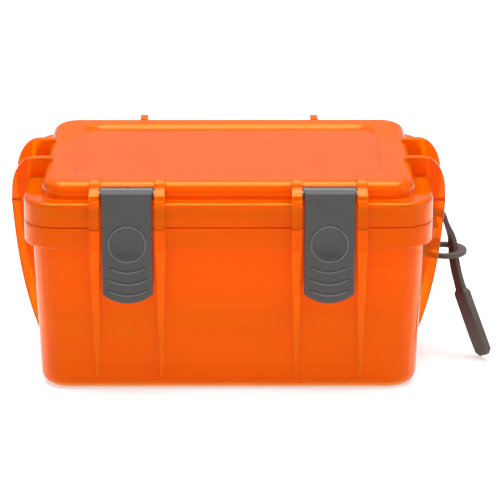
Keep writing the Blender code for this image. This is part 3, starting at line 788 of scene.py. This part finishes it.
def drawn_steel():
    """Stainless rod: fine lines along it, left by drawing, with a little variation in its shine."""
    made, tree, shader = new_finish("drawn_steel")
    shader.inputs["Metallic"].default_value = 1.0
    lines = noise(tree, drawn_out(tree, position(tree), 0.03), scale=9000.0, detail=2.0)
    tree.links.new(shades(tree, lines, *STEEL_GREYS), shader.inputs["Base Color"])
    tree.links.new(between(tree, lines, *STEEL_SHINE), shader.inputs["Roughness"])
    return made


steel = drawn_steel()
HINGE_PIN = 0.0015
HINGE_PIN_ROUND = 0.0003
LATCH_PIN = 0.00125
LATCH_PIN_ROUND = 0.00025
LATCH_PIN_FROM = LATCH_X - RIB_OFFSET - 0.0013
LATCH_PIN_TO = LATCH_X + RIB_OFFSET + 0.0021

half_pin = KNUCKLE_LENGTH / 2 + EAR_THICK
for word, side in (("left", -1), ("right", 1)):
    x0, x1 = side * HINGE_X - half_pin, side * HINGE_X + half_pin
    hinge_pin = rod(f"hinge_rod_{word}", HINGE_PIN, x0, x1, *HINGE_AXIS, 40, HINGE_PIN_ROUND)
    x0, x1 = sorted((side * LATCH_PIN_FROM, side * LATCH_PIN_TO))
    latch_pin = rod(f"latch_rod_{word}", LATCH_PIN, x0, x1, *LATCH_PIVOT, 40, LATCH_PIN_ROUND)
    for pin, body, node in (
        (hinge_pin, "base", f"hinge_pin_{word}"),
        (latch_pin, "lid", f"latch_pin_{word}"),
    ):
        smoothed(pin)
        wear(pin, steel)
        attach(pin, body)
        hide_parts(node)

# ---------------------------------------------------------------------------------------------------------------
# The two latches, moulded in dark grey ABS. Each has a barrel on its pin, a plate down the front with a ringed
# finger dish and three grip ridges, a round foot to pull on, and a hook behind that snaps under the collar.
LATCH_WIDTH = 0.0234
LATCH_FRONT_Y = -0.0667
LATCH_PLATE = 0.0022
LATCH_TOP_Z = 0.1012
LATCH_TIP_Z = 0.0467
LATCH_SIDE_Z = 0.0512
LATCH_CHAMFER = 0.0014
LATCH_ROUND = 0.0011
LATCH_ROUND_TOP_Z = 0.0995
BARREL = 0.0032
BARREL_PAST = 0.0006
BARREL_ROUND = 0.0004
WEB_Z = (0.0955, 0.0996)
HOOK_BACK_Y = (-0.0638, -0.0616)
HOOK_HIGH = 0.0040
HOOK_INSET = 0.0015
CHEEK_INSET = 0.0002
CHEEK_WIDE = 0.0012
CHEEK_BACK_Y = -0.0632
CHEEK_Z = (0.0535, 0.0950)
INNER_ROUND = 0.0003
DISH_Z = 0.0757
DISH_RADIUS = 0.0340
DISH_DEPTH = 0.0009
RING_RADIUS = 0.0085
RIDGE_THICK = 0.0005
RIDGE_Y = LATCH_FRONT_Y - 0.0002
# In front of this depth, the proud ridges get a painted highlight.
RIDGE_HIGHLIGHT_Y = LATCH_FRONT_Y - 0.0004
GRIPS = ((0.0618, 0.0130), (0.0561, 0.0165), (0.0508, 0.0165))
GRIP_RISE = 0.0024

half = LATCH_WIDTH / 2
sag = LATCH_SIDE_Z - LATCH_TIP_Z
radius = (half * half + sag * sag) / (2 * sag)
spread = math.degrees(math.asin(half / radius))
foot_arc = arc((0.0, LATCH_TIP_Z + radius), (radius, radius), 270 + spread, 270 - spread, 28)
outline = [(-half, LATCH_TOP_Z), (half, LATCH_TOP_Z)] + foot_arc
middle_y = LATCH_FRONT_Y + LATCH_PLATE / 2
latch = plate("latch_right_cover", outline, lambda u, v, w: (LATCH_X + u, middle_y + w, v), LATCH_PLATE)
bpy.ops.object.mode_set(mode="EDIT")


def on_front(part):
    """Whether the edge or face lies in the flat front of the plate."""
    return all(abs(point.co.y - LATCH_FRONT_Y) < 1e-6 for point in part.verts)


def round_front(edge):
    """Whether the edge goes round the flat front, below its top."""
    outer = any(not on_front(face) for face in edge.link_faces)
    low = min(point.co.z for point in edge.verts) < LATCH_ROUND_TOP_Z
    return outer and low and on_front(edge)


pick("EDGE", lambda edge: on_front(edge) and level_at(LATCH_TOP_Z)(edge))
bpy.ops.mesh.bevel(offset=LATCH_CHAMFER, segments=1, affect="EDGES")
pick("EDGE", round_front)
bpy.ops.mesh.bevel(offset=LATCH_ROUND, segments=4, profile=0.5, affect="EDGES", clamp_overlap=True)
bpy.ops.object.mode_set(mode="OBJECT")
x0, x1 = LATCH_X - half, LATCH_X + half
add(latch, rod("barrel", BARREL, x0 - BARREL_PAST, x1 + BARREL_PAST, *LATCH_PIVOT, 56, BARREL_ROUND))
back_y = LATCH_FRONT_Y + LATCH_PLATE - SINK
web = (x0 + GAP, x1 - GAP, back_y, LATCH_PIVOT[0])
add(latch, bar("web", (*web, WEB_Z[0]), (*web, WEB_Z[1])))
hook = (x0 + HOOK_INSET, x1 - HOOK_INSET, back_y)
hook_top = COLLAR_LOW_Z - GAP
hook_low = (*hook, HOOK_BACK_Y[0], hook_top - HOOK_HIGH)
add(latch, bar("hook", hook_low, (*hook, HOOK_BACK_Y[1], hook_top), INNER_ROUND))
for x in (x0 + CHEEK_INSET, x1 - CHEEK_INSET - CHEEK_WIDE):
    cheek = (x, x + CHEEK_WIDE, back_y, CHEEK_BACK_Y)
    add(latch, bar("cheek", (*cheek, CHEEK_Z[0]), (*cheek, CHEEK_Z[1]), INNER_ROUND))
cut(latch, rod("latch_bore", LATCH_BORE, x0 - PAST_END, x1 + PAST_END, *LATCH_PIVOT, 32))

nothing_selected()
bpy.ops.mesh.primitive_uv_sphere_add(
    segments=96,
    ring_count=64,
    radius=DISH_RADIUS,
    location=(LATCH_X, LATCH_FRONT_Y - DISH_RADIUS + DISH_DEPTH, DISH_Z),
    rotation=(math.pi / 2, 0.0, 0.0),
)
cut(latch, end(begin("dish")))


def ridge(name, z, turn, segments, sides):
    """A thin ring half sunk in the front of the latch, round a middle at the height z."""
    nothing_selected()
    bpy.ops.mesh.primitive_torus_add(
        major_segments=segments,
        minor_segments=sides,
        major_radius=turn,
        minor_radius=RIDGE_THICK,
        location=(LATCH_X, RIDGE_Y, z),
        rotation=(math.pi / 2, 0.0, 0.0),
    )
    return end(begin(name))


# The ring and the ridges are laid into the front and joined to it. Each ridge is the low part of a ring.
relief = [latch, ridge("dish_ring", DISH_Z, RING_RADIUS, 96, 16)]
for z, turn in GRIPS:
    relief.append(ridge("grip_ridge", z + turn, turn, 160, 12))
    bpy.ops.object.mode_set(mode="EDIT")
    bpy.ops.mesh.select_all(action="SELECT")
    level = (LATCH_X, LATCH_FRONT_Y, z + GRIP_RISE)
    bpy.ops.mesh.bisect(plane_co=level, plane_no=(0.0, 0.0, 1.0), use_fill=True, clear_outer=True)
    bpy.ops.object.mode_set(mode="OBJECT")
smoothed(joined(relief), 30.0)


def grained(tree, shader, place, fineness, strength, depth):
    """Gives the surface the fine grain of its mould."""
    grain = noise(tree, place, fineness, 3.0)
    relief = tree.nodes.new("ShaderNodeBump")
    relief.inputs["Strength"].default_value = strength
    relief.inputs["Distance"].default_value = depth
    tree.links.new(grain, relief.inputs["Height"])
    tree.links.new(relief.outputs["Normal"], shader.inputs["Normal"])


DARK_GREYS = ((0.041, 0.038, 0.035), (0.051, 0.047, 0.044))
# A lighter grey for the painted highlight on the ridges.
RIDGE_HIGHLIGHT_GREY = (0.100, 0.095, 0.090)
GREY_SHINE = (0.24, 0.34)


def satin_grey():
    """Dark grey ABS with the fine sparked texture of its mould, and a painted highlight on the proud ridges of the
    front.
    """
    made, tree, shader = new_finish("satin_grey")
    shader.inputs["Specular IOR Level"].default_value = 0.42
    place = position(tree)
    cloud = noise(tree, place, scale=90.0, detail=4.0)
    colour = shades(tree, cloud, *DARK_GREYS, 0.3, 0.7)
    axes = tree.nodes.new("ShaderNodeSeparateXYZ")
    tree.links.new(place, axes.inputs["Vector"])
    # Painted highlight: the proud ring and grip ridges are laid in a lighter grey.
    ridges = worked_out(tree, "LESS_THAN", axes.outputs["Y"], RIDGE_HIGHLIGHT_Y)
    tree.links.new(laid_over(tree, ridges, colour, RIDGE_HIGHLIGHT_GREY), shader.inputs["Base Color"])
    tree.links.new(between(tree, cloud, *GREY_SHINE), shader.inputs["Roughness"])
    grained(tree, shader, place, fineness=2600.0, strength=0.25, depth=0.00004)
    return made


wear(latch, satin_grey())
other_latch = copied(latch, (-2 * LATCH_X, 0.0, 0.0))
other_latch.name = other_latch.data.name = "latch_left_cover"
for piece, body in ((latch, "latch_right"), (other_latch, "latch_left")):
    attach(piece, body)
    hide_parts(body)

# ---------------------------------------------------------------------------------------------------------------
# The lanyard, one moulding in warm grey rubber: a ring, a flat strap that goes over the bar and back down through
# the ring, and a thicker paddle at its end with chamfered corners.
STRAP_THICK = 0.0024
STRAP_WIDE = 0.0070
RING_CENTRE = (0.1052, 0.0)
RING_Z = 0.0512
RING_OUTER = 0.0106
RING_HIGH = 0.0026
RING_ROUND = 0.0008
EYE_CENTRE = (0.1042, 0.0)
EYE_REACH = (0.0070, 0.0080)
BEND_CENTRE = (0.1006, 0.0663)
BEND_REACH = (0.0044, 0.0046)

# The route of the strap: up on the inner side of the bar, over it, down on the outer side and along the paddle.
# turns holds its turn about its own length at each point, in degrees, and swell holds its swelling there.
over = [(u, 0.0, v) for u, v in arc(BEND_CENTRE, BEND_REACH, 180, 10, 6)]
rise = [(0.0958, 0.0, 0.0505), (0.0951, 0.0, 0.0560), (0.0954, 0.0, 0.0615)]
fall = [
    (0.1062, 0.0, 0.0636),
    (0.1081, 0.0, 0.0588),
    (0.1090, -0.0002, 0.0540),
    (0.1094, -0.0010, 0.0490),
    (0.1102, -0.0022, 0.0440),
    (0.1119, -0.0041, 0.0370),
]
paddle = [
    (0.1130, -0.0053, 0.0333),
    (0.1136, -0.0058, 0.0315),
    (0.1210, -0.0117, 0.0115),
    (0.1238, -0.0136, 0.0042),
    (0.1246, -0.0142, 0.0022),
]
turns = [90.0] * (len(rise) + len(over))
turns += [84.0, 76.0, 70.0, 66.0, 64.0, 64.0] + [64.0] * len(paddle)
swell = [1.0] * (len(rise) + len(over) + len(fall)) + [1.05, 1.56, 1.60, 1.55, 0.95]

nothing_selected()
bpy.ops.curve.primitive_bezier_curve_add(location=(0.0, 0.0, 0.0))
section = bpy.context.object
section.data.dimensions = "2D"
# The section of the strap: a flat bar with eased corners, as shares of its half thickness and half width.
corner = [(1.0, 0.90), (0.90, 0.965), (0.70, 1.0), (-0.70, 1.0), (-0.90, 0.965), (-1.0, 0.90)]
corner += [(-u, -v) for u, v in corner]
section.data.splines.clear()
edge = section.data.splines.new("POLY")
edge.points.add(len(corner) - 1)
for point, (u, v) in zip(edge.points, corner):
    point.co = (u * STRAP_THICK / 2, v * STRAP_WIDE / 2, 0.0, 1.0)
edge.use_cyclic_u = True

nothing_selected()
bpy.ops.curve.primitive_bezier_curve_add(location=(0.0, 0.0, 0.0))
strap = bpy.context.object
strap.name = strap.data.name = "lanyard_strap"
strap.data.dimensions = "3D"
strap.data.bevel_mode = "OBJECT"
strap.data.bevel_object = section
strap.data.use_fill_caps = True
strap.data.resolution_u = 8
route = rise + over + fall + paddle
strap.data.splines.clear()
line = strap.data.splines.new("BEZIER")
line.bezier_points.add(len(route) - 1)
for point, place, turn, factor in zip(line.bezier_points, route, turns, swell):
    point.co = place
    point.handle_left_type = point.handle_right_type = "AUTO"
    point.tilt = math.radians(turn)
    point.radius = factor
nothing_selected()
strap.select_set(True)
bpy.context.view_layer.objects.active = strap
bpy.ops.object.convert(target="MESH")
strap = bpy.context.object
bpy.data.objects.remove(section)
bpy.ops.object.mode_set(mode="EDIT")
bpy.ops.mesh.select_all(action="SELECT")
bpy.ops.mesh.remove_doubles(threshold=1e-6)
bpy.ops.mesh.normals_make_consistent(inside=False)
bpy.ops.object.mode_set(mode="OBJECT")

ring_turns = arc(RING_CENTRE, (RING_OUTER, RING_OUTER), 0, 360, 64)[:-1]
eye_turns = arc(EYE_CENTRE, EYE_REACH, 0, 360, 56)[:-1]
ring = plate("lanyard_ring", ring_turns, lambda u, v, w: (u, v, RING_Z + w), RING_HIGH)
cut(ring, plate("ring_eye", eye_turns, lambda u, v, w: (u, v, RING_Z + w), 3 * RING_HIGH))
bpy.ops.object.mode_set(mode="EDIT")
pick("EDGE", lambda edge: not rises(edge) and edge.calc_face_angle(0) > 1.0)
bpy.ops.mesh.bevel(offset=RING_ROUND, segments=4, profile=0.5, affect="EDGES", clamp_overlap=True)
bpy.ops.object.mode_set(mode="OBJECT")
add(strap, ring)
smoothed(strap, 22.0)


RUBBER_GREYS = ((0.070, 0.052, 0.046), (0.092, 0.070, 0.062))
RUBBER_SHINE = (0.52, 0.72)


def matte_rubber():
    """Warm grey rubber: matte, faintly dusty, with the fine grain of its mould."""
    made, tree, shader = new_finish("matte_rubber")
    shader.inputs["Specular IOR Level"].default_value = 0.35
    place = position(tree)
    dust = noise(tree, place, scale=160.0, detail=5.0)
    colour = shades(tree, dust, *RUBBER_GREYS, 0.3, 0.7)
    tree.links.new(colour, shader.inputs["Base Color"])
    tree.links.new(between(tree, dust, *RUBBER_SHINE), shader.inputs["Roughness"])
    grained(tree, shader, place, fineness=1800.0, strength=0.3, depth=0.00006)
    return made


wear(strap, matte_rubber())
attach(strap, "lanyard")
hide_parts("lanyard")
